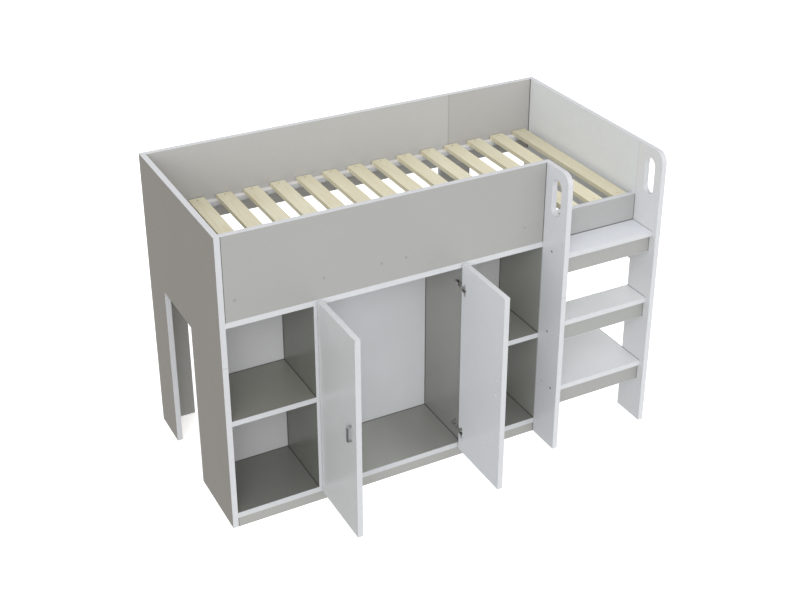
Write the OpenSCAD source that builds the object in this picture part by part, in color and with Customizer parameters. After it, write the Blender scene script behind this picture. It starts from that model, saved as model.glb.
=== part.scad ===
// Cabin bed with a low cabinet, two hinged doors, a fixed step ladder and a slatted deck.
// Board construction: every board, batten, slat, dowel, cam, screw, cap and hinge piece is a solid of its own.
// Local layout: X from the left end panel to the right one, Y from the front plane to the rear, Z up from the floor.
// The drawn frame has its origin on the floor, under the centre of the whole box with both doors open at 90 degrees.

/* [Overall] */
// Outside length, left end panel to right end panel
bed_l = 1804; // [1700:1:2000]
// Outside depth, front guard to rear guard
bed_w = 810; // [770:1:960]
// Height of the end panels and guards
bed_h = 1235; // [1150:1:1400]
// Thickness of every board
t = 22; // [18:1:25]

/* [End panels] */
// Width of the front leg of the left end panel
front_leg_w = 325; // [200:1:400]
// Width of the rear leg of both end panels
rear_leg_w = 182; // [100:1:250]
// Top of the cut-out in both end panels
cutout_h = 711; // [500:1:800]

/* [Cabinet] */
// Depth of the cabinet boards
cab_d = 301; // [250:1:320]
// Thickness of the back panel
back_t = 3; // [2:0.5:6]
// Height of the plinth under the cabinet
plinth_h = 42; // [20:1:80]
// Underside of the two mid shelves
shelf_z = 457; // [300:1:600]
// Top face of the cabinet top board
cab_top = 894; // [800:1:950]
// Left face of the left divider
div_l = 360; // [300:1:420]
// Left face of the right divider
div_r = 991; // [900:1:1050]
// Left face of the ladder's left upright and of the cabinet's right side
side_x = 1345; // [1200:1:1400]

/* [Guards] */
// Underside of the rear guard
rear_guard_z = 905; // [850:1:950]
// Underside of the entry rail
entry_z0 = 892; // [850:1:900]
// Top of the entry rail
entry_z1 = 1007; // [980:1:1100]
// Width of the left rear leg
rleg_w = 112; // [60:1:160]
// Left edge of the centre rear leg
cleg_x = 1331; // [1200:1:1345]
// Width of the centre rear leg
cleg_w = 149; // [80:1:180]

/* [Deck] */
// Number of slats
slat_n = 15; // [15:1:15]
// Width of a slat
slat_w = 64; // [50:1:90]
// Thickness of a slat
slat_t = 18; // [12:1:24]
// Pitch of the slats
slat_p = 116.8; // [90:0.1:125]
// Left edge of the first slat
slat_x0 = 59.2; // [40:0.1:80]
// Top face of the slat rails
rail_top = 987; // [950:1:1050]
// Height of the slat rails
rail_h = 20; // [15:1:40]
// Depth of the slat rails
rail_d = 28; // [20:1:40]

/* [Ladder] */
// How far the uprights stand in front of the front plane
up_d = 148; // [120:1:220]
// How far the treads stand in front of the front plane
tread_d = 124; // [100:1:200]
// How far the outer face of the risers stands in front of the front plane
riser_y = 111; // [90:1:180]
// Height of a riser board
riser_h = 72; // [40:1:100]
// Top face of the lower tread
tread_z3 = 286; // [240:1:320]
// Rise from one tread to the next
rise = 303; // [250:1:330]
// Radius of the uprights' top front corner
corner_r = 45; // [20:1:60]
// Width of the hand slots
slot_w = 60; // [30:1:80]
// Height of the hand slots
slot_h = 155; // [100:1:200]
// Centre height of the hand slots
slot_z = 1114; // [1000:1:1150]
// Distance of the hand slots' centre in front of the front plane
slot_y = 75; // [60:1:100]

/* [Doors] */
// Width of a door
door_w = 304; // [280:1:304]
// Underside of the doors
door_z0 = 38; // [30:1:60]
// Top of the doors
door_z1 = 892; // [850:1:893]
// Gap between a closed door's inner face and the cabinet front
door_gap = 2; // [2:0.5:4]
// Hinge axis to the door's hinge edge
ax_u = 5.5; // [5:0.1:7]
// Hinge axis to the door's inner face
ax_v = 9; // [8:0.1:10]
// Height of the lower hinges
hinge_z1 = 130; // [100:1:200]
// Height of the upper hinges
hinge_z2 = 787; // [700:1:840]
// Height of the handle's centre
handle_z = 483; // [300:1:700]
// Screw centres of the handle
handle_cc = 64; // [64:32:128]
// Distance of the handle from the door's free edge
handle_in = 39.5; // [30:0.5:60]

/* [Hidden] */
$fn = 48;
ux = side_x + t;                                  // right face of the left upright, left end of the treads
rx = bed_l - t;                                   // inner face of the right end panel
mid_x = (div_l + div_r + t) / 2;                  // mirror plane of the door pair
ax_x = div_l + t + 4;                             // left hinge axis
ax_y = -(door_gap + ax_v);
door_in = ax_x + ax_v;                            // left door's inner face when open
door_out = door_in - t;                           // left door's outer face when open
edge_y = ax_y + ax_u;                             // hinge edge when open
free_y = edge_y - door_w;                         // free edge when open
cy = (bed_w + free_y) / 2;                        // centre of the box in Y
top_z0 = cab_top - t;
bot_z1 = plinth_h + t;
rg_y = bed_w - t;                                 // front face of the rear guard
rr_y = rg_y - rail_d;                             // front face of the rear slat rail
treads = [tread_z3 + 2 * rise, tread_z3 + rise, tread_z3];

X = [1, 0, 0];
Y = [0, 1, 0];
Z = [0, 0, 1];

// ---- helpers ----
module at() { translate([-bed_l / 2, -cy, 0]) children(); }
module flip() { translate([2 * mid_x, 0, 0]) mirror([1, 0, 0]) children(); }
module box(a, b) { translate(a) cube([b[0] - a[0], b[1] - a[1], b[2] - a[2]]); }
module along(p, d) {
  translate(p)
    rotate(d[0] > 0 ? [0, 90, 0] : d[0] < 0 ? [0, -90, 0] : d[1] > 0 ? [-90, 0, 0] : d[1] < 0 ? [90, 0, 0] : d[2] > 0 ? [0, 0, 0] : [180, 0, 0])
      children();
}
module rod(p, d, l, r) { along(p, d) cylinder(h = l, r = r); }

// A dowel sits 9 mm deep in a board's face and 19 mm deep in the other board's edge.
dw_face = 9;
dw_end = 19;
dw_r = 4;
// s = 1: the board whose edge is drilled lies on the positive side of the contact plane
function dw(p, d, s) = [p - d * (s > 0 ? dw_face : dw_end), d];
e0 = top_z0 + t / 2;      // mid height of the cabinet top
e1 = shelf_z + t / 2;     // of the shelves
e2 = plinth_h + t / 2;    // of the bottom board
g = t / 2;
dowel_list = concat(
  [for (y = [60, 245]) for (z = [e0, e1, e2]) dw([t, y, z], X, 1)],
  [for (y = [60, 245]) for (z = [e0, e1, e2]) dw([side_x, y, z], X, -1)],
  [for (y = [60, 245]) dw([div_l, y, e1], X, -1)],
  [for (y = [60, 245]) dw([div_r + t, y, e1], X, 1)],
  [for (x = [div_l + g, div_r + g]) for (y = [60, 245]) dw([x, y, top_z0], Z, -1)],
  [for (x = [div_l + g, div_r + g]) for (y = [60, 245]) dw([x, y, bot_z1], Z, 1)],
  [dw([t, g, plinth_h / 2], X, 1), dw([side_x, g, plinth_h / 2], X, -1)],
  [for (x = [200, 683, 1150]) dw([x, g, plinth_h], Z, -1)],
  [for (x = [200, 683, 1150]) dw([x, g, cab_top], Z, 1)],
  [for (z = [960, 1170]) dw([t, g, z], X, 1)],
  [for (z = [960, 1170]) dw([t, bed_w - g, z], X, 1)],
  [for (z = [960, 1170]) dw([rx, bed_w - g, z], X, -1)],
  [for (z = [960, 1170]) dw([ux, bed_w - g, z], X, 1)],
  [for (z = [915, 987]) dw([ux, g, z], X, 1)],
  [for (z = [912, 987]) dw([rx, g, z], X, -1)],
  [for (z = [300, 650]) dw([t, bed_w - g, z], X, 1)],
  [for (x = [t + rleg_w / 2, side_x + 4, ux + 57]) dw([x, bed_w - g, rear_guard_z], Z, 1)],
  [for (z = [200, 700, 1040, 1195]) dw([side_x + g, 0, z], Y, -1)],
  [for (z = [800, 1000, 1195]) dw([rx + g, 0, z], Y, -1)],
  [for (k = [0, 1]) for (y = [-95, -30]) dw([ux, y, treads[k] - g], X, 1)],
  [for (k = [0, 1]) for (y = [-95, -30]) dw([rx, y, treads[k] - g], X, -1)],
  [for (y = [-76, -20, 60, 245]) dw([ux, y, treads[2] - g], X, 1)],
  [for (y = [-76, -20]) dw([rx, y, treads[2] - g], X, -1)],
  [for (z = treads) dw([ux, g - riser_y, z - t - riser_h / 2], X, 1)],
  [for (z = treads) dw([rx, g - riser_y, z - t - riser_h / 2], X, -1)],
  [for (z = treads) for (x = [1450, 1700]) dw([x, g - riser_y, z - t], Z, -1)]
);

// Cams: [point on the joint plane at the bolt axis, direction into the board, direction from the cam's open face into the board]
cam_r = 7.4;
cam_h = 12.5;
cam_in = 34;
cam_list = [
  [[t, 152, e0], X, Z], [[side_x, 152, e0], -X, Z],
  [[t, 152, e1], X, Z], [[div_l, 152, e1], -X, Z], [[div_r + t, 152, e1], X, Z], [[side_x, 152, e1], -X, Z],
  [[t, 152, e2], X, Z], [[side_x, 152, e2], -X, Z],
  [[ux, -62, treads[1] - g], X, Z], [[rx, -62, treads[1] - g], -X, Z],
  [[t, g, 1065], X, -Y], [[rx, g, 945], -X, -Y],
  [[t, bed_w - g, 1065], X, -Y], [[rx, bed_w - g, 1065], -X, -Y]
];

// Screws: [start at the outside of the head, direction, length, shank radius, head radius, head height]
ladder_pts = [[-64, treads[0] - g], [-107, treads[2] - g], [-45, treads[2] - g]];
panel_screw_list = concat(
  [for (p = ladder_pts) [[side_x, p[0], p[1]], X, 50, 2.5, 4.5, 3]],
  [for (p = ladder_pts) [[bed_l, p[0], p[1]], -X, 50, 2.5, 4.5, 3]]
);
guard_x = [62, 404, 637, 739, 1257];
rail_z = rail_top - rail_h / 2;
gap_x = [for (i = [0, 3, 6, 9, 11, 13]) slat_x0 + slat_w + (slat_p - slat_w) / 2 + i * slat_p];
deck_screw_list = concat(
  [for (i = [4, 5]) [[gap_x[i], t + rail_d, rail_z], -Y, 38, 2, 4, 2.4]],
  [for (x = gap_x) [[x, rr_y, rail_z], Y, 38, 2, 4, 2.4]],
  [for (i = [0 : slat_n - 1]) for (y = [43, rg_y - 21]) [[slat_x0 + slat_w / 2 + i * slat_p, y, rail_top + slat_t], -Z, 26, 1.9, 4, 2.4]]
);
nail_list = concat(
  [for (x = [60, 371, 683, 1002, 1300]) for (z = [e0, e2]) [[x, cab_d + back_t + 0.8, z], -Y, 16, 0.8, 2, 0.8]],
  [for (x = [div_l + g, div_r + g, side_x + g]) for (z = [250, 650]) [[x, cab_d + back_t + 0.8, z], -Y, 16, 0.8, 2, 0.8]]
);
plate_screw_list = concat(
  [for (z = [hinge_z1, hinge_z2]) for (k = [-16, 16]) [[div_l + t + 3.7, 37, z + k], -X, 15, 1.9, 3.4, 1.2]],
  [for (z = [hinge_z1, hinge_z2]) for (k = [-16, 16]) [[div_r - 3.7, 37, z + k], X, 15, 1.9, 3.4, 1.2]]
);
// Blanked drillings: [point on the face, direction into the board]
plug_list = [
  [[side_x, -63, 520], X], [[bed_l, -63, 520], -X],
  [[div_r, 34, 407], X], [[div_l + t, 34, 407], -X]
];

// Capped screws start 1 mm below the face, under a cap let into the same drilling
function capped(l) = [for (s = l) [s[0] + s[1], s[1], s[2] - 1, s[3], s[4], s[5]]];
guard_screw_list = [for (x = guard_x) [[x, 0, rail_z], Y, 36, 2, 4, 2.4]];
module screw(s) {
  rod(s[0], s[1], s[5], s[4]);
  rod(s[0] + s[1] * s[5], s[1], s[2] - s[5], s[3]);
}
module screw_bore(s) {
  rod(s[0] - s[1] * 0.01, s[1], s[5] + 0.01, s[4] + 0.05);
  rod(s[0] + s[1] * (s[5] - 0.01), s[1], s[2] - s[5] + 0.5, s[3] + 0.05);
}
// true when the cylinder from p along d, length l, radius r reaches into the box a..b
function hits(p, d, l, r, a, b) =
  let (q = p + d * l)
  min(p[0], q[0]) - (d[0] == 0 ? r : 0) < b[0] && max(p[0], q[0]) + (d[0] == 0 ? r : 0) > a[0] &&
  min(p[1], q[1]) - (d[1] == 0 ? r : 0) < b[1] && max(p[1], q[1]) + (d[1] == 0 ? r : 0) > a[1] &&
  min(p[2], q[2]) - (d[2] == 0 ? r : 0) < b[2] && max(p[2], q[2]) + (d[2] == 0 ? r : 0) > a[2];
cb = cam_in - cam_r - 0.05;
module bores_in(a, b) {
  for (d = dowel_list)
    if (hits(d[0] - d[1] * 0.5, d[1], dw_face + dw_end + 1, dw_r, a, b))
      rod(d[0] - d[1] * 0.5, d[1], dw_face + dw_end + 1, dw_r + 0.05);
  for (c = cam_list) {
    if (hits(c[0] - c[1] * 11.5, c[1], cb + 11.5, 3, a, b))
      rod(c[0] - c[1] * 11.5, c[1], cb + 11.6, 3.05);
    if (hits(c[0] + c[1] * cam_in - c[2] * (g - 0.1), c[2], cam_h, cam_r, a, b))
      rod(c[0] + c[1] * cam_in - c[2] * (g + 0.01), c[2], cam_h + 0.11, cam_r + 0.05);
  }
  for (s = concat(capped(panel_screw_list), capped(guard_screw_list), deck_screw_list, nail_list, plate_screw_list))
    if (hits(s[0], s[1], s[2], s[3], a, b)) screw_bore(s);
  for (s = concat(panel_screw_list, guard_screw_list, plug_list))
    if (hits(s[0], s[1], 6, 5, a, b)) rod(s[0] - s[1] * 0.01, s[1], 1.02, 5.55);
  for (p = plug_list)
    if (hits(p[0], p[1], 6, 2.5, a, b)) rod(p[0] - p[1] * 0.01, p[1], 6.5, 2.55);
}
module bored(a, b) {
  difference() {
    box(a, b);
    bores_in(a, b);
  }
}

// ---- end panels and uprights ----
module left_end_panel() {
  color([0.66, 0.66, 0.65]) at() difference() {
    box([0, 0, 0], [t, bed_w, bed_h]);
    box([-1, front_leg_w, -1], [t + 1, bed_w - rear_leg_w, cutout_h]);
    bores_in([0, 0, 0], [t, bed_w, bed_h]);
  }
}
module right_end_panel() {
  color([0.88, 0.89, 0.90]) at() difference() {
    box([rx, 0, 0], [bed_l, bed_w, bed_h]);
    box([rx - 1, -1, -1], [bed_l + 1, bed_w - rear_leg_w, cutout_h]);
    bores_in([rx, 0, 0], [bed_l, bed_w, bed_h]);
  }
}
module upright(x) {
  difference() {
    box([x, -up_d, 0], [x + t, 0, bed_h]);
    // rounded top front corner
    difference() {
      box([x - 1, -up_d - 1, bed_h - corner_r], [x + t + 1, -up_d + corner_r, bed_h + 1]);
      rod([x - 2, -up_d + corner_r, bed_h - corner_r], X, t + 4, corner_r, $fn = 96);
    }
    // hand slot
    rod([x - 1, -slot_y, slot_z - (slot_h - slot_w) / 2], X, t + 2, slot_w / 2);
    rod([x - 1, -slot_y, slot_z + (slot_h - slot_w) / 2], X, t + 2, slot_w / 2);
    box([x - 1, -slot_y - slot_w / 2, slot_z - (slot_h - slot_w) / 2], [x + t + 1, -slot_y + slot_w / 2, slot_z + (slot_h - slot_w) / 2]);
    bores_in([x, -up_d, 0], [x + t, 0, bed_h]);
  }
}
module ladder_upright_left() { color([0.88, 0.89, 0.90]) at() upright(side_x); }
module ladder_upright_right() { color([0.88, 0.89, 0.90]) at() upright(rx); }

// ---- cabinet ----
module cabinet_right_side() { color([0.66, 0.66, 0.65]) at() bored([side_x, 0, 0], [ux, cab_d, cab_top]); }
module cabinet_top() { color([0.66, 0.66, 0.65]) at() bored([t, 0, top_z0], [side_x, cab_d, cab_top]); }
module cabinet_bottom() { color([0.66, 0.66, 0.65]) at() bored([t, 0, plinth_h], [side_x, cab_d, bot_z1]); }
module divider_left() { color([0.66, 0.66, 0.65]) at() bored([div_l, 0, bot_z1], [div_l + t, cab_d, top_z0]); }
module divider_right() { color([0.66, 0.66, 0.65]) at() bored([div_r, 0, bot_z1], [div_r + t, cab_d, top_z0]); }
module shelf_left() { color([0.66, 0.66, 0.65]) at() bored([t, 0, shelf_z], [div_l, cab_d, shelf_z + t]); }
module shelf_right() { color([0.66, 0.66, 0.65]) at() bored([div_r + t, 0, shelf_z], [side_x, cab_d, shelf_z + t]); }
module plinth() { color([0.66, 0.66, 0.65]) at() bored([t, 0, 0], [side_x, t, plinth_h]); }
module back_panel() { color([0.90, 0.90, 0.89]) at() bored([t + 1, cab_d, plinth_h - 10], [ux - 1, cab_d + back_t, cab_top - 2]); }

// ---- guards, rails and rear legs ----
module front_guard() { color([0.66, 0.66, 0.65]) at() bored([t, 0, cab_top], [ux, t, bed_h]); }
module entry_rail() { color([0.66, 0.66, 0.65]) at() bored([ux, 0, entry_z0], [rx, t, entry_z1]); }
module rear_guard_left() { color([0.66, 0.66, 0.65]) at() bored([t, rg_y, rear_guard_z], [ux, bed_w, bed_h]); }
module rear_guard_right() { color([0.66, 0.66, 0.65]) at() bored([ux, rg_y, rear_guard_z], [rx, bed_w, bed_h]); }
module rear_leg_left() { color([0.66, 0.66, 0.65]) at() bored([t, rg_y, 0], [t + rleg_w, bed_w, rear_guard_z]); }
module rear_leg_centre() { color([0.66, 0.66, 0.65]) at() bored([cleg_x, rg_y, 0], [cleg_x + cleg_w, bed_w, rear_guard_z]); }
module slat_rail_front() { color([0.88, 0.89, 0.90]) at() bored([t, t, rail_top - rail_h], [rx, t + rail_d, rail_top]); }
module slat_rail_rear() { color([0.88, 0.89, 0.90]) at() bored([t, rr_y, rail_top - rail_h], [rx, rg_y, rail_top]); }

// ---- slats ----
module slat(i) {
  x = slat_x0 + (i - 1) * slat_p;
  color([0.86, 0.82, 0.68]) at() bored([x, t + 4, rail_top], [x + slat_w, rg_y - 4, rail_top + slat_t]);
}
module slat_01() { slat(1); }
module slat_02() { slat(2); }
module slat_03() { slat(3); }
module slat_04() { slat(4); }
module slat_05() { slat(5); }
module slat_06() { slat(6); }
module slat_07() { slat(7); }
module slat_08() { slat(8); }
module slat_09() { slat(9); }
module slat_10() { slat(10); }
module slat_11() { slat(11); }
module slat_12() { slat(12); }
module slat_13() { slat(13); }
module slat_14() { slat(14); }
module slat_15() { slat(15); }

// ---- ladder ----
module tread(k, y1) { color([0.88, 0.89, 0.90]) at() bored([ux, -tread_d, treads[k] - t], [rx, y1, treads[k]]); }
module riser(k) { color([0.66, 0.66, 0.65]) at() bored([ux, -riser_y, treads[k] - t - riser_h], [rx, t - riser_y, treads[k] - t]); }
module tread_upper() { tread(0, 0); }
module tread_middle() { tread(1, 0); }
module tread_lower() { tread(2, cab_d); }
module riser_upper() { riser(0); }
module riser_middle() { riser(1); }
module riser_lower() { riser(2); }

// ---- fittings of the frame ----
module dowels() { color([0.82, 0.70, 0.50]) at() for (d = dowel_list) rod(d[0], d[1], dw_face + dw_end, dw_r); }
module cam_fittings() {
  color([0.70, 0.70, 0.72]) at() for (c = cam_list) {
    rod(c[0] - c[1] * 11, c[1], 11 + cb, 3);
    o = c[0] + c[1] * cam_in - c[2] * g;
    difference() {
      rod(o, c[2], cam_h, cam_r);
      // cross recess in the open face
      along(o, c[2]) translate([-4, -0.7, -1]) cube([8, 1.4, 3.5]);
      along(o, c[2]) translate([-0.7, -4, -1]) cube([1.4, 8, 3.5]);
    }
  }
}
module panel_screws() { color([0.62, 0.62, 0.64]) at() for (s = capped(panel_screw_list)) screw(s); }
module deck_screws() { color([0.75, 0.70, 0.45]) at() for (s = concat(capped(guard_screw_list), deck_screw_list)) screw(s); }
module back_nails() { color([0.62, 0.62, 0.64]) at() for (s = nail_list) screw(s); }
// Caps over the ladder screws and the guard screws, and plugs in the blanked drillings
module cap(p, d) { rod(p, d, 0.95, 5.5); }
module cover_caps() {
  color([0.55, 0.55, 0.54]) at() {
    for (s = concat(panel_screw_list, guard_screw_list)) cap(s[0], s[1]);
    for (p = plug_list) { cap(p[0], p[1]); rod(p[0], p[1], 6, 2.5); }
  }
}

// ---- hinges: plates and arms on the dividers ----
module plate_at(z) {
  x = div_l + t;
  difference() {
    union() {
      box([x, 20, z - 6.8], [x + 2.5, 54, z + 6.8]);
      box([x, 31, z - 21], [x + 2.5, 43, z + 21]);
    }
    for (s = plate_screw_list) if (abs(s[0][2] - z) < 20 && s[0][0] < mid_x) screw_bore(s);
  }
}
module hinge_plates() {
  color([0.70, 0.70, 0.72]) at() for (z = [hinge_z1, hinge_z2]) { plate_at(z); flip() plate_at(z); }
}
// Arm: an eye round the hinge pin, a flat neck and a tapered body clipped on the plate
module arm_at(z) {
  x = ax_x - 1.5;
  difference() {
    union() {
      rod([ax_x, ax_y, z - 6], Z, 12, 4);
      box([x, ax_y, z - 6], [x + 3, 16, z + 6]);
      translate([0, 0, z - 6]) linear_extrude(height = 12)
        polygon([[x, 12], [x, 55], [x + 7, 55], [x + 8.5, 52], [x + 8.5, 26], [x + 3, 14], [x + 3, 12]]);
    }
    rod([ax_x, ax_y, z - 7], Z, 14, 2.05);
    // adjusting screw recesses
    rod([x + 6.5, 31, z], X, 4, 2.6);
    rod([x + 6.5, 46, z], X, 4, 2.6);
  }
}
module hinge_arms() {
  color([0.70, 0.70, 0.72]) at() for (z = [hinge_z1, hinge_z2]) { arm_at(z); flip() arm_at(z); }
}
module hinge_plate_screws() { color([0.62, 0.62, 0.64]) at() for (s = plate_screw_list) screw(s); }

// ---- doors, drawn for the left door and mirrored for the right one ----
cup_u = 17.5;
cup_y = edge_y - cup_u;
hy = free_y + handle_in;
cup_screws = [for (z = [hinge_z1, hinge_z2]) for (k = [-20.5, 20.5]) [[door_in + 2.6, edge_y - 24, z + k], -X, 14, 1.5, 3.2, 1]];
handle_screws = [for (k = [-1, 1]) [[door_in + 2.2, hy, handle_z + k * handle_cc / 2], -X, 31, 1.95, 4, 2.2]];
module door_board() {
  difference() {
    box([door_out, free_y, door_z0], [door_in, edge_y, door_z1]);
    for (z = [hinge_z1, hinge_z2]) {
      rod([door_in + 1, cup_y, z], -X, 13.5, 13.1);
      box([door_in - 14.5, edge_y - 12.5, z - 12.3], [door_in + 1, edge_y + 1, z + 12.3]);
    }
    for (s = concat(cup_screws, handle_screws)) rod(s[0], s[1], s[2] + 0.5, s[3] + 0.05);
  }
}
// Cup: a dish let into the door's inner face, a flange, and two ears that hold the pin's ends
module cup_at(z) {
  difference() {
    union() {
      rod([door_in, cup_y, z], -X, 12, 13);
      rod([door_in, cup_y, z], X, 1.6, 15);
      box([door_in, edge_y - 29, z - 20.5], [door_in + 1.6, edge_y - 19, z + 20.5]);
      for (k = [-20.5, 20.5]) rod([door_in, edge_y - 24, z + k], X, 1.6, 6);
      for (k = [-12.1, 6.2]) box([door_in - 14.2, edge_y - 12.2, z + k], [door_in + 1.6, edge_y - 0.6, z + k + 5.9]);
    }
    difference() {
      rod([door_in + 3, cup_y, z], -X, 13.8, 11.7);
      for (k = [-12.1, 6.2]) box([door_in - 14.2, edge_y - 12.2, z + k], [door_in + 1.6, edge_y - 0.6, z + k + 5.9]);
    }
    // way of the arm through the rim, from closed to fully open
    box([door_in - 14.5, edge_y - 10.3, z - 6.2], [door_in + 3, edge_y + 3, z + 6.2]);
    rod([ax_x, ax_y, z - 13], Z, 26, 2.02);
    for (s = cup_screws) if (abs(s[0][2] - z) < 30) rod(s[0], s[1], s[2], s[3] + 0.05);
  }
}
module cups() { for (z = [hinge_z1, hinge_z2]) cup_at(z); }
// Bow handle: two posts, two tight bends and a straight grip
module bow() {
  hr = 4;
  br = 5.5;
  so = 16;
  z0 = handle_z - handle_cc / 2;
  z1 = handle_z + handle_cc / 2;
  difference() {
    union() {
      rod([door_out - so + br, hy, z0], X, so - br, hr);
      rod([door_out - so + br, hy, z1], X, so - br, hr);
      rod([door_out - so, hy, z0 + br], Z, handle_cc - 2 * br, hr);
      translate([door_out - so + br, hy, z0 + br]) rotate([-90, 0, 0]) rotate([0, 0, 90]) rotate_extrude(angle = 90) translate([br, 0]) circle(r = hr);
      translate([door_out - so + br, hy, z1 - br]) rotate([-90, 0, 0]) rotate([0, 0, 180]) rotate_extrude(angle = 90) translate([br, 0]) circle(r = hr);
    }
    for (s = handle_screws) rod(s[0], s[1], s[2] + 0.5, s[3] + 0.05);
  }
}
// Cup screws, handle screws and the two hinge pins, all riding with the door
module hardware() {
  for (s = concat(cup_screws, handle_screws)) screw(s);
  for (z = [hinge_z1, hinge_z2]) rod([ax_x, ax_y, z - 11.9], Z, 23.8, 2);
}
module door_left() { color([0.88, 0.89, 0.90]) at() door_board(); }
module hinge_cups_left() { color([0.70, 0.70, 0.72]) at() cups(); }
module handle_left() { color([0.45, 0.45, 0.46]) at() bow(); }
module door_left_hardware() { color([0.62, 0.62, 0.64]) at() hardware(); }
module door_right() { color([0.88, 0.89, 0.90]) at() flip() door_board(); }
module hinge_cups_right() { color([0.70, 0.70, 0.72]) at() flip() cups(); }
module handle_right() { color([0.45, 0.45, 0.46]) at() flip() bow(); }
module door_right_hardware() { color([0.62, 0.62, 0.64]) at() flip() hardware(); }

left_end_panel();
right_end_panel();
ladder_upright_left();
ladder_upright_right();
cabinet_right_side();
cabinet_top();
cabinet_bottom();
divider_left();
divider_right();
shelf_left();
shelf_right();
plinth();
back_panel();
front_guard();
entry_rail();
rear_guard_left();
rear_guard_right();
rear_leg_left();
rear_leg_centre();
slat_rail_front();
slat_rail_rear();
slat_01();
slat_02();
slat_03();
slat_04();
slat_05();
slat_06();
slat_07();
slat_08();
slat_09();
slat_10();
slat_11();
slat_12();
slat_13();
slat_14();
slat_15();
tread_upper();
tread_middle();
tread_lower();
riser_upper();
riser_middle();
riser_lower();
dowels();
cam_fittings();
panel_screws();
deck_screws();
cover_caps();
back_nails();
hinge_plates();
hinge_arms();
hinge_plate_screws();
door_left();
hinge_cups_left();
handle_left();
door_left_hardware();
door_right();
hinge_cups_right();
handle_right();
door_right_hardware();
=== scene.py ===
import bpy, math
from mathutils import Vector, Matrix


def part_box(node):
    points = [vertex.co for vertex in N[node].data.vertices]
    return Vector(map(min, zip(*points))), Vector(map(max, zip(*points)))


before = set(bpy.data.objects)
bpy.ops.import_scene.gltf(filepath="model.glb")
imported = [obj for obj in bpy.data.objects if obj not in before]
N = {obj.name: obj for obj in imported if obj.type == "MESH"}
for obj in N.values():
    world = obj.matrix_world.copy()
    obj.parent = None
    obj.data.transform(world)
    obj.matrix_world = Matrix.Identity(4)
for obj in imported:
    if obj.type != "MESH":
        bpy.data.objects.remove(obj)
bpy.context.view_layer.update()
scene = bpy.context.scene

# ---------------------------------------------------------------- node helpers


class Mat:
    """A Principled material and short calls for its nodes."""

    def __init__(self, name):
        self.m = bpy.data.materials.new(name)
        self.m.use_nodes = True
        self.t = self.m.node_tree
        self.b = next(n for n in self.t.nodes if n.type == "BSDF_PRINCIPLED")
        self.tc = self.t.nodes.new("ShaderNodeTexCoord")

    def put(self, socket, value):
        if hasattr(value, "is_output"):
            self.t.links.new(value, socket)
        else:
            socket.default_value = value

    def math(self, op, a, b=None, clamp=False):
        n = self.t.nodes.new("ShaderNodeMath")
        n.operation = op
        n.use_clamp = clamp
        self.put(n.inputs[0], a)
        if b is not None:
            self.put(n.inputs[1], b)
        return n.outputs[0]

    def vmath(self, op, a, b=None):
        n = self.t.nodes.new("ShaderNodeVectorMath")
        n.operation = op
        self.put(n.inputs[0], a)
        if b is not None:
            self.put(n.inputs[1], b)
        return n.outputs[0]

    def split(self, v):
        n = self.t.nodes.new("ShaderNodeSeparateXYZ")
        self.put(n.inputs[0], v)
        return n.outputs

    def join(self, x, y, z):
        n = self.t.nodes.new("ShaderNodeCombineXYZ")
        for i, v in enumerate((x, y, z)):
            self.put(n.inputs[i], v)
        return n.outputs[0]

    def remap(self, v, a, b, c, d, smooth=True):
        n = self.t.nodes.new("ShaderNodeMapRange")
        n.interpolation_type = "SMOOTHSTEP" if smooth else "LINEAR"
        self.put(n.inputs[0], v)
        for i, k in enumerate((a, b, c, d)):
            n.inputs[i + 1].default_value = k
        return n.outputs[0]

    def noise(self, v, scale, detail=3.0, rough=0.5, distort=0.0):
        n = self.t.nodes.new("ShaderNodeTexNoise")
        n.noise_dimensions = "3D"
        self.put(n.inputs["Vector"], v)
        n.inputs["Scale"].default_value = scale
        n.inputs["Detail"].default_value = detail
        n.inputs["Roughness"].default_value = rough
        n.inputs["Distortion"].default_value = distort
        return n.outputs["Fac"]

    def voronoi(self, v, scale, feature="F1", rnd=1.0):
        n = self.t.nodes.new("ShaderNodeTexVoronoi")
        n.feature = feature
        self.put(n.inputs["Vector"], v)
        n.inputs["Scale"].default_value = scale
        n.inputs["Randomness"].default_value = rnd
        return n.outputs["Distance"]

    def ramp(self, v, stops):
        n = self.t.nodes.new("ShaderNodeValToRGB")
        r = n.color_ramp
        while len(r.elements) < len(stops):
            r.elements.new(0.5)
        for e, (p, c) in zip(r.elements, stops):
            e.position = p
            e.color = (*c, 1.0)
        self.put(n.inputs[0], v)
        return n.outputs[0]

    def mix(self, f, a, b, mode="MIX"):
        n = self.t.nodes.new("ShaderNodeMix")
        n.data_type = "RGBA"
        n.blend_type = mode
        n.clamp_factor = True
        self.put(n.inputs[0], f)
        self.put(n.inputs[6], a if hasattr(a, "is_output") else (*a, 1.0))
        self.put(n.inputs[7], b if hasattr(b, "is_output") else (*b, 1.0))
        return n.outputs[2]

    def bump(self, h, strength, distance, below=None):
        n = self.t.nodes.new("ShaderNodeBump")
        n.inputs["Strength"].default_value = strength
        n.inputs["Distance"].default_value = distance
        self.put(n.inputs["Height"], h)
        if below is not None:
            self.put(n.inputs["Normal"], below)
        return n.outputs[0]

    def out(self, **k):
        for name, v in k.items():
            s = self.b.inputs[name.replace("_", " ")]
            self.put(s, (*v, 1.0) if isinstance(v, tuple) and len(v) == 3 else v)
        return self.m


# ---------------------------------------------------------------- colours (linear)
GREY = (0.334, 0.332, 0.316)
WHITE = (0.706, 0.721, 0.741)
BAND = (0.572, 0.583, 0.605)
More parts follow.
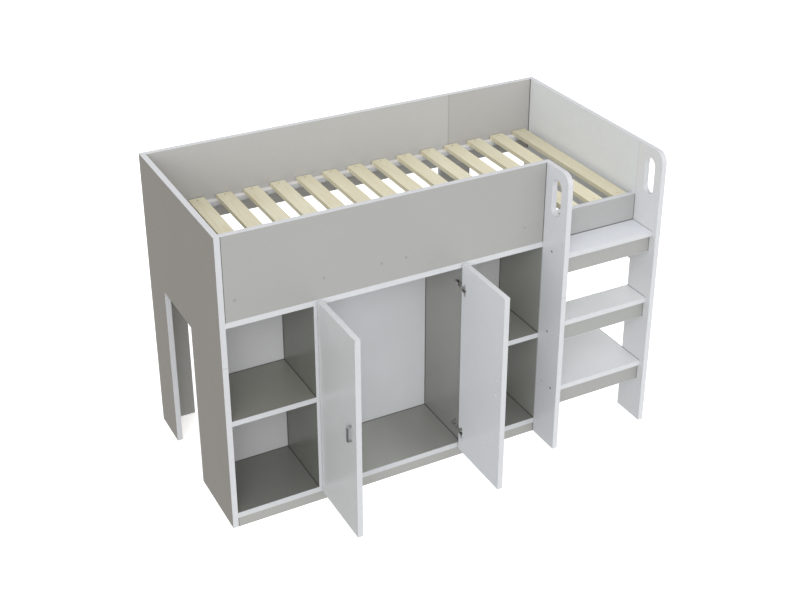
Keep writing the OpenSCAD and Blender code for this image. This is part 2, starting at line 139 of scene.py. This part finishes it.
# painted light and shade: each board's colour is scaled lighter or darker, standing in for the light it gets where it
# stands, against its plain colour
PAINTED_LIGHT_AND_SHADE = {
    "front_guard": (1.044, 1.051, 1.071), "left_end_panel": (0.920, 0.870, 0.815), "entry_rail": (1.076, 1.106, 1.149),
    "rear_guard_left": (1.270, 1.275, 1.320), "rear_guard_right": (1.150, 1.140, 1.170), "shelf_left": (0.739, 0.738, 0.695),
    "shelf_right": (0.830, 0.830, 0.800), "divider_left": (0.544, 0.566, 0.524), "divider_right": (1.063, 1.068, 1.056),
    "cabinet_right_side": (0.907, 0.925, 0.891), "cabinet_bottom": (1.242, 1.254, 1.230), "riser_upper": (1.020, 1.030, 1.045),
    "riser_middle": (0.973, 1.000, 1.005), "riser_lower": (0.975, 0.983, 1.004), "door_left": (0.978, 0.966, 0.951),
    "door_right": (1.057, 1.060, 1.064), "ladder_upright_left": (1.020, 1.022, 1.034), "ladder_upright_right": (1.015, 1.003, 1.000),
    "right_end_panel": (1.020, 1.030, 1.030), "slat_rail_rear": (1.20, 1.15, 1.12), "tread_lower": (0.980, 0.980, 0.985), "tread_middle": (1.063, 1.060, 1.049),
    "tread_upper": (1.000, 1.005, 1.035)}
# painted shade: the parts of a board that lie deep in a cubby are darker: node, from, to along the bed, factor
CUBBY_PAINTED_SHADE = {"cabinet_bottom": [(22, 371, 0.464), (1002, 1345, 0.565)]}
# painted light and shade on the bands: one factor for sides and front edges, one for top edges
BAND_PAINTED_LIGHT = {"door_left": (0.945, 1.19), "door_right": (0.965, 1.22), "shelf_left": (0.925, 0.925), "cabinet_bottom": (0.905, 0.905),
         "left_end_panel": (0.965, 1.0)}
# painted shade: a face that grows darker along the board: axis, from, to, factor
PAINTED_SHADE_FADE = {"divider_right": (2, 700, 120, 0.77), "divider_left": (2, 600, 200, 0.90), "cabinet_bottom": (0, 610, 880, 0.69)}
# painted light and shade on single slats: each slat lighter or darker by its factor
SLAT_LIGHT_AND_SHADE = {1: 0.94, 2: 1.06, 13: 0.955, 14: 0.97, 15: 0.865}
# painted light on the doors: a factor for the door's other side, which makes the inner face lighter than the outer;
# both doors are alike outside, and alike inside
DOOR_SIDE_PAINTED_LIGHT = {"door_left": (1.081, 1.097, 1.119), "door_right": (0.925, 0.911, 0.894)}
X0, Y0 = -902.0, -250.25


def row(axis, mm):
    """A measure of the bed's plan, in mm from its front left corner, as a place in metres."""
    return (mm + (X0, Y0, 0.0)[axis]) / 1000.0


def board(name, face, thin, lo, hi, seed, rough, gloss, joints, cuts, cubby_shade=(), bands=(1.0, 1.0), fade=None, side_light=None):
    """Melamine-faced board: fine pearl texture on the two faces, plastic bands round the edges.
    A band's 0.8 mm shows as a thin line round each face, except where another board stands against it.
    joints: (axis, mm, sign of the face, depth of shade, axis 2, from, to); cuts: places where a band is joined."""
    g = Mat(name)
    p = g.vmath("ADD", g.tc.outputs["Object"], (seed * 1.37, seed * 0.73, seed * 2.11))
    o = g.split(g.tc.outputs["Object"])
    nrm = g.split(g.tc.outputs["Normal"])
    isface = g.remap(g.math("ABSOLUTE", nrm[thin]), 0.78, 0.92, 0.0, 1.0)
    d = None
    closed = {(a, round(row(a, mm), 5)) for a, mm, *_ in joints}
    for i in range(3):
        for v, s in ((lo[i], 1.0), (hi[i], -1.0)):
            if i != thin and (i, round(v, 5)) not in closed:
                q = g.math("SUBTRACT", o[i], v) if s > 0 else g.math("SUBTRACT", v, o[i])
                d = q if d is None else g.math("MINIMUM", d, q)
    if d is None:
        d = g.math("ADD", 1.0, g.math("MULTIPLY", o[0], 0.0))
    body = g.math("MULTIPLY", isface, g.remap(d, 0.0006, 0.0009, 0.0, 1.0))
    cloud = g.noise(p, 2.4, 2.0, 0.5)
    pearl = g.noise(p, 620.0, 2.0, 0.6)
    fleck = g.noise(p, 170.0, 2.0, 0.5)
    t = g.math("ADD", g.math("MULTIPLY", cloud, 0.25), g.math("ADD", g.math("MULTIPLY", pearl, 0.45), g.math("MULTIPLY", fleck, 0.30)))
    fc = g.mix(g.remap(t, 0.35, 0.65, 0.0, 1.0), tuple(0.97 * v for v in face), tuple(1.03 * v for v in face))
    wave = g.remap(g.noise(p, 38.0, 3.0, 0.6), 0.35, 0.65, 0.0, 1.0)
    # painted light: top-facing bands get their own factor, mostly lighter
    ec, et = [g.mix(wave, tuple(0.985 * k * v for v in BAND), tuple(1.015 * k * v for v in BAND)) for k in bands]
    ec = g.mix(g.remap(nrm[2], 0.5, 0.8, 0.0, 1.0), ec, et)
    # painted light: the door's other side gets its own factor
    if side_light:
        fc = g.mix(g.remap(nrm[thin], 0.5, 0.8, 0.0, 1.0), fc,
                   g.mix(g.remap(t, 0.35, 0.65, 0.0, 1.0), tuple(0.97 * k * v for k, v in zip(side_light, face)), tuple(1.03 * k * v for k, v in zip(side_light, face))))
    # painted shade fading along the board
    if fade:
        fc = g.mix(g.remap(o[fade[0]], row(fade[0], fade[1]), row(fade[0], fade[2]), 0.0, 1.0), fc,
                   g.mix(g.remap(t, 0.35, 0.65, 0.0, 1.0), tuple(0.97 * fade[3] * v for v in face), tuple(1.03 * fade[3] * v for v in face)))
    # painted shade deep in the cubbies
    for x0, x1, f in cubby_shade:
        inside = g.math("MULTIPLY", g.math("GREATER_THAN", o[0], row(0, x0)), g.math("LESS_THAN", o[0], row(0, x1)))
        fc = g.mix(inside, fc, g.mix(g.remap(t, 0.35, 0.65, 0.0, 1.0), tuple(0.97 * f * v for v in face), tuple(1.03 * f * v for v in face)))
    col = g.mix(body, ec, fc)
    # painted shade: soft dark lines where boards meet, in place of the shade in the joints
    dark = None
    for jt in joints:
        a, mm, sign, depth = jt[:4]
        near = g.remap(g.math("ABSOLUTE", g.math("SUBTRACT", o[a], row(a, mm))), 0.0012, 0.0042, depth, 0.0)
        if sign:
            near = g.math("MULTIPLY", near, g.remap(g.math("MULTIPLY", nrm[thin], float(sign)), 0.7, 0.9, 0.0, 1.0))
        if len(jt) > 4:
            b, f, u = jt[4:]
            near = g.math("MULTIPLY", near, g.math("MULTIPLY", g.math("GREATER_THAN", o[b], row(b, f)), g.math("LESS_THAN", o[b], row(b, u))))
        dark = near if dark is None else g.math("MAXIMUM", dark, near)
    if dark is not None:
        col = g.mix(g.math("MULTIPLY", dark, isface), col, (0.040, 0.040, 0.036))
    for a, mm in cuts:
        line = g.remap(g.math("ABSOLUTE", g.math("SUBTRACT", o[a], row(a, mm))), 0.0006, 0.0016, 0.45, 0.0)
        col = g.mix(g.math("MULTIPLY", line, g.math("SUBTRACT", 1.0, isface)), col, (0.16, 0.16, 0.15))
    # handling marks: soft patches, a little duller, and fine hairline scuffs near the free edges
    smudge = g.remap(g.noise(p, 5.0, 2.0, 0.5), 0.35, 0.75, 0.0, 1.0)
    hair = g.noise(g.vmath("MULTIPLY", p, (900.0, 40.0, 60.0)), 1.0, 2.0, 0.5)
    scuff = g.math("MULTIPLY", g.remap(hair, 0.66, 0.74, 0.0, 1.0), g.remap(d, 0.0, 0.02, 1.0, 0.0))
    r = g.math("ADD", rough, g.math("MULTIPLY", smudge, 0.012))
    r = g.math("ADD", r, g.math("MULTIPLY", g.math("SUBTRACT", pearl, 0.5), 0.08))
    r = g.math("ADD", r, g.math("MULTIPLY", scuff, 0.10), clamp=True)
    grain = g.math("ADD", g.math("MULTIPLY", pearl, 1.0), g.math("MULTIPLY", scuff, -0.6))
    n2 = g.bump(grain, 0.10, 0.0001)
    g.b.inputs["Specular IOR Level"].default_value = gloss
    return g.out(Base_Color=col, Roughness=r, Normal=n2)


def hardboard(name, lo, hi, joints):
    """Thin fibre board, white lacquer in front and pale sanded fibres behind."""
    g = Mat(name)
    p = g.tc.outputs["Object"]
    o = g.split(p)
    nrm = g.split(g.tc.outputs["Normal"])
    front = g.remap(nrm[1], -0.9, -0.5, 1.0, 0.0)
    fibre = g.noise(p, 260.0, 5.0, 0.7, 1.2)
    weave = g.voronoi(p, 420.0)
    tone = g.remap(g.noise(p, 3.0, 3.0), 0.35, 0.65, 0.0, 1.0)
    lacquer = g.mix(tone, (0.592, 0.606, 0.622), (0.620, 0.634, 0.652))
    # painted shade on the back panel: darker in the left cubby, darker still below its shelf, and a little darker in
    # the right cubby
    left_cubby_painted_shade = g.mix(g.math("GREATER_THAN", o[2], row(2, 468)), g.mix(tone, (0.475, 0.475, 0.483), (0.500, 0.500, 0.508)),
                g.mix(tone, (0.550, 0.552, 0.565), (0.575, 0.577, 0.590)))
    deep = g.mix(tone, (0.545, 0.552, 0.552), (0.572, 0.580, 0.580))
    lacquer = g.mix(g.math("LESS_THAN", o[0], row(0, 371)), lacquer, left_cubby_painted_shade)
    lacquer = g.mix(g.math("GREATER_THAN", o[0], row(0, 1002)), lacquer, deep)
    back = g.ramp(fibre, [(0.25, (0.36, 0.355, 0.340)), (0.5, (0.42, 0.415, 0.40)), (0.78, (0.47, 0.465, 0.45))])
    col = g.mix(front, back, lacquer)
    # painted shade: soft dark lines where the back meets the boards in front of it
    dark = None
    for a, mm, depth, b, f, u in joints:
        near = g.remap(g.math("ABSOLUTE", g.math("SUBTRACT", o[a], row(a, mm))), 0.0012, 0.0042, depth, 0.0)
        near = g.math("MULTIPLY", near, g.math("MULTIPLY", g.math("GREATER_THAN", o[b], row(b, f)), g.math("LESS_THAN", o[b], row(b, u))))
        dark = near if dark is None else g.math("MAXIMUM", dark, near)
    col = g.mix(g.math("MULTIPLY", dark, front), col, (0.060, 0.060, 0.056))
    r = g.math("ADD", 0.40, g.math("MULTIPLY", g.math("SUBTRACT", 1.0, front), 0.30))
    r = g.math("ADD", r, g.math("MULTIPLY", g.math("SUBTRACT", fibre, 0.5), 0.12), clamp=True)
    h = g.math("ADD", g.math("MULTIPLY", fibre, 0.7), g.math("MULTIPLY", weave, 0.3))
    return g.out(Base_Color=col, Roughness=r, Normal=g.bump(h, 0.15, 0.0002))


def pine(name, seed, lo, hi, shade=1.0):
    """Planed pine: growth rings cut lengthwise, fine fibres, a few knots, sawn end grain."""
    g = Mat(name)
    obj = g.tc.outputs["Object"]
    nrm = g.split(g.tc.outputs["Normal"])
    o = g.split(obj)
    cx, cz = (lo[0] + hi[0]) / 2, (lo[2] + hi[2]) / 2
    # tree axis runs a little below and beside the slat, so the rings show as long arches
    sx = math.sin(seed * 2.399) * 0.028
    depth = 0.030 + 0.022 * abs(math.sin(seed * 1.13))
    lean = 0.030 * math.sin(seed * 3.7)
    y = o[1]
    wob = g.noise(g.join(g.math("MULTIPLY", o[0], 3.0), g.math("ADD", g.math("MULTIPLY", y, 1.6), seed * 9.1), g.math("MULTIPLY", o[2], 3.0)), 1.6, 2.0, 0.5)
    wob = g.math("MULTIPLY", g.math("SUBTRACT", wob, 0.5), 0.030)
    px = g.math("ADD", g.math("SUBTRACT", o[0], cx + sx), g.math("ADD", wob, g.math("MULTIPLY", y, lean)))
    pz = g.math("ADD", g.math("SUBTRACT", o[2], cz - depth), g.math("MULTIPLY", y, lean * 0.7))
    # knots
    kv = g.join(g.math("MULTIPLY", g.math("ADD", o[0], seed * 0.31), 9.0), g.math("MULTIPLY", g.math("ADD", y, seed * 1.77), 2.7), seed * 0.5)
    kd = g.voronoi(kv, 1.0)
    knot = g.remap(kd, 0.050, 0.085, 1.0, 0.0)
    halo = g.remap(kd, 0.05, 0.30, 1.0, 0.0)
    rad = g.math("SQRT", g.math("ADD", g.math("MULTIPLY", px, px), g.math("MULTIPLY", pz, pz)))
    rad = g.math("ADD", rad, g.math("MULTIPLY", halo, 0.0065))
    ring = g.math("FRACT", g.math("MULTIPLY", rad, 205.0 + 40.0 * math.sin(seed * 5.1)))
    late = g.math("MULTIPLY", g.remap(ring, 0.35, 0.93, 0.0, 1.0), g.remap(ring, 0.93, 1.0, 1.0, 0.0))
    fib = g.noise(g.join(g.math("MULTIPLY", o[0], 1500.0), g.math("ADD", g.math("MULTIPLY", y, 16.0), seed * 3.3), g.math("MULTIPLY", o[2], 1500.0)), 1.0, 3.0, 0.6)
    patch = g.noise(g.join(g.math("MULTIPLY", o[0], 12.0), g.math("ADD", g.math("MULTIPLY", y, 2.0), seed * 5.9), g.math("MULTIPLY", o[2], 12.0)), 1.0, 2.0, 0.5)
    tone = 0.5 + 0.5 * math.sin(seed * 4.17)
    a = tuple(shade * ((1 - tone) * u + tone * v) for u, v in zip((0.820, 0.785, 0.610), (0.805, 0.764, 0.580)))
    b = tuple(shade * ((1 - tone) * u + tone * v) for u, v in zip((0.718, 0.648, 0.448), (0.697, 0.622, 0.421)))
    base = g.mix(g.remap(patch, 0.3, 0.7, 0.0, 0.35), a, b)
    col = g.mix(g.math("MULTIPLY", late, 0.42), base, b)
    col = g.mix(g.remap(fib, 0.35, 0.75, 0.0, 0.22), col, tuple(0.86 * v for v in b))
    col = g.mix(g.math("MULTIPLY", halo, 0.22), col, (0.50, 0.33, 0.15))
    kc = g.ramp(g.noise(obj, 300.0, 3.0, 0.6), [(0.3, (0.150, 0.070, 0.028)), (0.7, (0.290, 0.150, 0.062))])
    col = g.mix(knot, col, kc)
    end = g.remap(g.math("ABSOLUTE", nrm[1]), 0.75, 0.92, 0.0, 1.0)
    col = g.mix(g.math("MULTIPLY", end, 0.30), col, (0.36, 0.26, 0.14))
    r = g.math("ADD", 0.56, g.math("MULTIPLY", g.math("SUBTRACT", fib, 0.5), 0.22))
    r = g.math("SUBTRACT", r, g.math("MULTIPLY", knot, 0.14))
    r = g.math("ADD", r, g.math("MULTIPLY", end, 0.18), clamp=True)
    h = g.math("SUBTRACT", g.math("ADD", g.math("MULTIPLY", fib, 0.6), g.math("MULTIPLY", late, 0.5)), g.math("MULTIPLY", knot, 0.4))
    return g.out(Base_Color=col, Roughness=r, Normal=g.bump(h, 0.35, 0.0003))


def beech(name):
    g = Mat(name)
    p = g.tc.outputs["Object"]
    f = g.noise(p, 900.0, 3.0, 0.6)
    q = g.noise(p, 60.0, 2.0, 0.5)
    col = g.ramp(g.math("ADD", g.math("MULTIPLY", f, 0.6), g.math("MULTIPLY", q, 0.4)), [(0.3, (0.42, 0.26, 0.12)), (0.7, (0.62, 0.43, 0.23))])
    return g.out(Base_Color=col, Roughness=g.remap(f, 0.2, 0.8, 0.5, 0.75), Normal=g.bump(f, 0.3, 0.0002))


def metal(name, dark, light, rough, streak, spots=0.0):
    """Plated or brushed steel: fine directional streaks, cloudy plating, small dull spots."""
    g = Mat(name)
    p = g.tc.outputs["Object"]
    s = g.noise(g.vmath("MULTIPLY", p, streak), 1.0, 3.0, 0.65)
    c = g.noise(p, 70.0, 3.0, 0.55)
    f = g.noise(p, 1400.0, 2.0, 0.6)
    t = g.math("ADD", g.math("MULTIPLY", s, 0.55), g.math("ADD", g.math("MULTIPLY", c, 0.30), g.math("MULTIPLY", f, 0.15)))
    col = g.mix(g.remap(t, 0.36, 0.64, 0.0, 1.0), dark, light)
    pit = g.remap(g.voronoi(p, 520.0), 0.05, 0.16, 1.0, 0.0)
    col = g.mix(g.math("MULTIPLY", pit, spots), col, tuple(0.55 * v for v in dark))
    r = g.math("ADD", rough, g.math("MULTIPLY", g.math("SUBTRACT", s, 0.5), 0.22))
    r = g.math("ADD", r, g.math("MULTIPLY", g.math("SUBTRACT", c, 0.5), 0.14), clamp=True)
    g.b.inputs["Metallic"].default_value = 1.0
    return g.out(Base_Color=col, Roughness=r, Normal=g.bump(s, 0.22, 0.00008))


def screws(name):
    """Plated screws; the heads of the handle's screws are enamelled to match the door."""
    g = Mat(name)
    p = g.tc.outputs["Object"]
    o = g.split(p)
    paint = g.math("LESS_THAN", o[1], row(1, -200))
    c = g.noise(p, 300.0, 3.0, 0.55)
    f = g.noise(p, 1400.0, 2.0, 0.6)
    bare = g.mix(g.remap(c, 0.36, 0.64, 0.0, 1.0), (0.36, 0.36, 0.37), (0.62, 0.62, 0.64))
    enamel = g.mix(g.remap(f, 0.36, 0.64, 0.0, 1.0), tuple(0.96 * v for v in WHITE), WHITE)
    r = g.math("ADD", g.math("MULTIPLY", f, 0.16), 0.22)
    return g.out(Base_Color=g.mix(paint, bare, enamel), Metallic=g.math("SUBTRACT", 1.0, paint), Roughness=r, Normal=g.bump(f, 0.15, 0.00008))


def caps(name):
    """Small plastic plugs: pale on the guard, darker on the ladder."""
    g = Mat(name)
    p = g.tc.outputs["Object"]
    o = g.split(p)
    f = g.noise(p, 1100.0, 3.0, 0.6)
    c = g.noise(p, 90.0, 2.0, 0.5)
    dark = g.math("LESS_THAN", o[1], row(1, -20))
    faint = g.math("LESS_THAN", g.math("ABSOLUTE", g.math("SUBTRACT", o[1], row(1, -45))), 0.009)
    t = g.remap(g.math("ADD", g.math("MULTIPLY", f, 0.4), g.math("MULTIPLY", c, 0.6)), 0.35, 0.65, 0.0, 1.0)
    pale = g.mix(t, (0.262, 0.258, 0.246), (0.290, 0.286, 0.272))
    deep = g.mix(t, (0.175, 0.175, 0.170), (0.215, 0.215, 0.208))
    near = g.mix(t, (0.50, 0.51, 0.515), (0.54, 0.55, 0.555))
    col = g.mix(faint, g.mix(dark, pale, deep), near)
    r = g.math("ADD", 0.42, g.math("MULTIPLY", g.math("SUBTRACT", f, 0.5), 0.2), clamp=True)
    return g.out(Base_Color=col, Roughness=r, Normal=g.bump(f, 0.25, 0.0001))


# ---------------------------------------------------------------- materials on the nodes
THIN = {}
for n in ("left_end_panel", "right_end_panel", "ladder_upright_left", "ladder_upright_right", "cabinet_right_side",
          "divider_left", "divider_right", "door_left", "door_right"):
    THIN[n] = 0
for n in ("plinth", "front_guard", "entry_rail", "rear_guard_left", "rear_guard_right", "rear_leg_left", "rear_leg_centre",
          "riser_upper", "riser_middle", "riser_lower"):
    THIN[n] = 1
for n in ("cabinet_top", "cabinet_bottom", "shelf_left", "shelf_right", "tread_upper", "tread_middle", "tread_lower",
          "slat_rail_front", "slat_rail_rear"):
    THIN[n] = 2
WHITES = {"right_end_panel", "ladder_upright_left", "ladder_upright_right", "door_left", "door_right", "tread_upper",
          "tread_middle", "tread_lower", "slat_rail_front", "slat_rail_rear"}


D = 0.80  # depth of painted shade in a joint
JOINTS = {
    "shelf_left": [(0, 22, 1, D), (0, 360, 1, D), (1, 301, 1, D)],
    "shelf_right": [(0, 1013, 1, D), (0, 1345, 1, D), (1, 301, 1, D)],
    "cabinet_bottom": [(0, x, 1, D) for x in (22, 360, 382, 991, 1013, 1345)] + [(1, 301, 1, D)],
    "cabinet_top": [(0, 22, 0, D), (0, 1345, 0, D), (1, 301, -1, D)],
    "divider_left": [(1, 301, 0, D), (2, 64, 0, D), (2, 872, 0, D), (2, 457, -1, D), (2, 479, -1, D)],
    "divider_right": [(1, 301, 0, D), (2, 64, 0, D), (2, 872, 0, D), (2, 457, 1, D), (2, 479, 1, D)],
    "cabinet_right_side": [(1, 301, -1, D), (2, 64, -1, D), (2, 872, -1, D), (2, 457, -1, D), (2, 479, -1, D)],
    "left_end_panel": [(1, 301, 1, D, 2, 64, 872), (1, 788, 1, D, 2, 905, 1235)],
    "right_end_panel": [(1, 788, -1, D, 2, 905, 1235), (1, 0, 0, 0.10)],
    "ladder_upright_left": [(1, 0, 0, 0.35)],
    "ladder_upright_right": [(1, 0, 0, 0.10)],
    "front_guard": [(0, 22, 0, D), (0, 1345, -1, D)],
    "entry_rail": [(0, 1367, 0, D), (0, 1782, 0, D), (2, 892, -1, D)],
    "rear_guard_left": [(0, 22, 0, D), (0, 1367, 0, 0.22)],
    "rear_guard_right": [(0, 1367, 0, 0.22), (0, 1782, 0, D)],
    "rear_leg_left": [(0, 22, 0, 0.5)],
    "tread_upper": [(0, 1367, 1, D), (0, 1782, 1, D), (1, 0, 1, D)],
    "tread_middle": [(0, 1367, 1, D), (0, 1782, 1, D)],
    "tread_lower": [(0, 1367, 1, D), (0, 1782, 1, D)],
    "riser_upper": [(0, 1367, -1, D), (0, 1782, -1, D)],
    "riser_middle": [(0, 1367, -1, D), (0, 1782, -1, D)],
    "riser_lower": [(0, 1367, -1, D), (0, 1782, -1, D)],
    "plinth": [(0, 22, -1, D), (0, 1345, -1, D)],
}
CUTS = {"left_end_panel": [(2, 711)], "ladder_upright_left": [(2, 714)]}
BACK = [(0, x, D, 2, 60, 876) for x in (22, 360, 382, 991, 1013, 1345)]
BACK += [(2, z, D, 0, a, b) for z in (457, 479) for a, b in ((20, 362), (1011, 1347))] + [(2, z, D, 0, 20, 1347) for z in (64, 872)]


def paint(node, mat):
    o = N[node]
    if o.material_slots:
        for s in o.material_slots:
            s.material = mat
    else:
        o.data.materials.append(mat)


for i, (n, thin) in enumerate(sorted(THIN.items())):
    lo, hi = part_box(n)
    white = n in WHITES
    # painted light and shade: the board's colour scaled by its factor
    face = tuple(k * v for k, v in zip(PAINTED_LIGHT_AND_SHADE.get(n, (1.0, 1.0, 1.0)), WHITE if white else GREY))
    paint(n, board("m_" + n, face, thin, lo, hi, 1 + i * 0.618, 0.26 if white else 0.28, 0.50 if white else 0.38,
                   JOINTS.get(n, []), CUTS.get(n, []), CUBBY_PAINTED_SHADE.get(n, ()),
                   BAND_PAINTED_LIGHT.get(n, (1.0, 1.0)), PAINTED_SHADE_FADE.get(n), DOOR_SIDE_PAINTED_LIGHT.get(n)))
lo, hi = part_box("back_panel")
paint("back_panel", hardboard("m_back_panel", lo, hi, BACK))
for i in range(1, 16):
    n = "slat_%02d" % i
    lo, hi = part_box(n)
    # painted light and shade on single slats through the shade factor
    paint(n, pine("m_" + n, i * 1.7 + 0.3, lo, hi, SLAT_LIGHT_AND_SHADE.get(i, 1.0)))
zinc = metal("m_zinc", (0.36, 0.36, 0.37), (0.62, 0.62, 0.64), 0.34, (500.0, 500.0, 500.0), 0.4)
yellow = metal("m_yellow_zinc", (0.42, 0.33, 0.14), (0.66, 0.55, 0.28), 0.36, (500.0, 500.0, 500.0), 0.4)
nickel = metal("m_nickel", (0.40, 0.40, 0.40), (0.66, 0.65, 0.64), 0.27, (60.0, 60.0, 1400.0), 0.25)
brushed = metal("m_handle", (0.20, 0.20, 0.21), (0.40, 0.40, 0.41), 0.33, (1500.0, 1500.0, 40.0), 0.15)
paint("dowels", beech("m_beech"))
for n in ("cam_fittings", "panel_screws", "back_nails", "hinge_plate_screws"):
    paint(n, zinc)
for n in ("door_left_hardware", "door_right_hardware"):
    paint(n, screws("m_" + n))
paint("deck_screws", yellow)
for n in ("hinge_plates", "hinge_arms", "hinge_cups_left", "hinge_cups_right"):
    paint(n, nickel)
for n in ("handle_left", "handle_right"):
    paint(n, brushed)
paint("cover_caps", caps("m_caps"))

# ---------------------------------------------------------------- floor, light, camera
me = bpy.data.meshes.new("floor")
R = 26.0
k = 96
ring = [(R * math.cos(2 * math.pi * j / k), R * math.sin(2 * math.pi * j / k), -0.0005) for j in range(k)]
me.from_pydata(ring, [], [tuple(range(k))])
floor = bpy.data.objects.new("floor", me)
scene.collection.objects.link(floor)
g = Mat("m_floor")
fp = g.tc.outputs["Object"]
me.materials.append(g.out(
    Base_Color=g.mix(g.remap(g.noise(fp, 0.6, 2.0), 0.3, 0.7, 0.0, 1.0), (0.895, 0.895, 0.895), (0.915, 0.915, 0.915)),
    Roughness=g.remap(g.noise(fp, 3.0, 3.0), 0.3, 0.7, 0.72, 0.80)))
g.b.inputs["Emission Color"].default_value = (1.0, 1.0, 1.0, 1.0)
g.b.inputs["Emission Strength"].default_value = 0.55
g.m.cycles.emission_sampling = "NONE"

# pale backdrop far behind
me = bpy.data.meshes.new("backdrop")
rows = 12
vs = [(R * math.cos(2 * math.pi * j / k) * math.cos(math.pi / 2 * i / rows), R * math.sin(2 * math.pi * j / k) * math.cos(math.pi / 2 * i / rows),
       R * math.sin(math.pi / 2 * i / rows) - 0.0005) for i in range(rows) for j in range(k)] + [(0.0, 0.0, R)]
fs = [(i * k + j, i * k + (j + 1) % k, (i + 1) * k + (j + 1) % k, (i + 1) * k + j) for i in range(rows - 1) for j in range(k)]
fs += [((rows - 1) * k + j, (rows - 1) * k + (j + 1) % k, rows * k) for j in range(k)]
me.from_pydata(vs, [], fs)
dome = bpy.data.objects.new("backdrop", me)
scene.collection.objects.link(dome)
g = Mat("m_backdrop")
bp = g.tc.outputs["Object"]
me.materials.append(g.out(
    Base_Color=g.mix(g.remap(g.noise(bp, 0.3, 2.0), 0.3, 0.7, 0.0, 1.0), (0.40, 0.40, 0.40), (0.41, 0.41, 0.41)),
    Roughness=g.remap(g.noise(bp, 2.0, 3.0), 0.3, 0.7, 0.85, 0.90)))
g.b.inputs["Emission Color"].default_value = (1.0, 1.0, 1.0, 1.0)
g.b.inputs["Emission Strength"].default_value = 0.90
g.m.cycles.emission_sampling = "NONE"
# floor and backdrop are only seen: they neither light nor shade the bed
for o in (floor, dome):
    o.visible_diffuse = o.visible_glossy = o.visible_transmission = o.visible_shadow = False

# Soft studio light from all round: wide lobes, each (azimuth from the front towards the right, elevation, tightness, strength)
LOBES = [
    (90, -40, 3, (1.330, 1.330, 1.330)),
    (-60, 25, 14, (0.638, 0.638, 0.638)),
    (-30, 25, 14, (4.462, 4.462, 4.462)),
    (0, 25, 14, (1.696, 1.696, 1.696)),
    (30, 25, 14, (1.306, 1.306, 1.306)),
    (180, 45, 4, (1.202, 1.202, 1.202)),
    (-90, 8, 4, (0.077, 0.077, 0.077)),
]
BASE = (0.366, 0.366, 0.366)
world = bpy.data.worlds.new("studio")
scene.world = world
world.use_nodes = True
wt = world.node_tree


def sky(lobes, base):
    wt.nodes.clear()
    out = wt.nodes.new("ShaderNodeOutputWorld")
    bg = wt.nodes.new("ShaderNodeBackground")
    tc = wt.nodes.new("ShaderNodeTexCoord")
    wt.links.new(bg.outputs[0], out.inputs["Surface"])
    total = None
    for az, el, tight, rgb in lobes:
        a, e = math.radians(az), math.radians(el)
        d = wt.nodes.new("ShaderNodeVectorMath")
        d.operation = "DOT_PRODUCT"
        wt.links.new(tc.outputs["Generated"], d.inputs[0])
        d.inputs[1].default_value = (math.sin(a) * math.cos(e), -math.cos(a) * math.cos(e), math.sin(e))
        m = wt.nodes.new("ShaderNodeMath")
        m.operation = "MAXIMUM"
        wt.links.new(d.outputs["Value"], m.inputs[0])
        m.inputs[1].default_value = 0.0
        q = wt.nodes.new("ShaderNodeMath")
        q.operation = "POWER"
        wt.links.new(m.outputs[0], q.inputs[0])
        q.inputs[1].default_value = tight
        c = wt.nodes.new("ShaderNodeVectorMath")
        c.operation = "SCALE"
        c.inputs[0].default_value = rgb
        wt.links.new(q.outputs[0], c.inputs["Scale"])
        t = wt.nodes.new("ShaderNodeVectorMath")
        t.operation = "ADD"
        wt.links.new(c.outputs[0], t.inputs[0])
        if total is None:
            t.inputs[1].default_value = base
        else:
            wt.links.new(total, t.inputs[1])
        total = t.outputs[0]
    if total is None:
        bg.inputs["Color"].default_value = (*base, 1.0)
    else:
        wt.links.new(total, bg.inputs["Color"])
    bg.inputs["Strength"].default_value = 1.0


sky(LOBES, BASE)


cam = bpy.data.cameras.new("camera")
co = bpy.data.objects.new("camera", cam)
scene.collection.objects.link(co)
scene.camera = co
AZ, EL, F, PX, PY = math.radians(-27.912), math.radians(26.164), 1322.64, 400.0, 210.0
LOC = Vector((-1.29732 - 0.902, -3.79457 - 0.25025, 3.28798))
back = Vector((math.sin(AZ) * math.cos(EL), -math.cos(AZ) * math.cos(EL), math.sin(EL)))
right = Vector((math.cos(AZ), math.sin(AZ), 0.0))
up = back.cross(right)
m = Matrix((right, up, back)).transposed().to_4x4()
m.translation = LOC
co.matrix_world = m
cam.sensor_fit = "HORIZONTAL"
cam.sensor_width = 36.0
cam.lens = F * 36.0 / 800.0
cam.shift_x = -(PX - 400.0) / 800.0
cam.shift_y = (PY - 300.0) / 800.0
cam.clip_start, cam.clip_end = 0.1, 200.0
scene.view_settings.view_transform = "Standard"
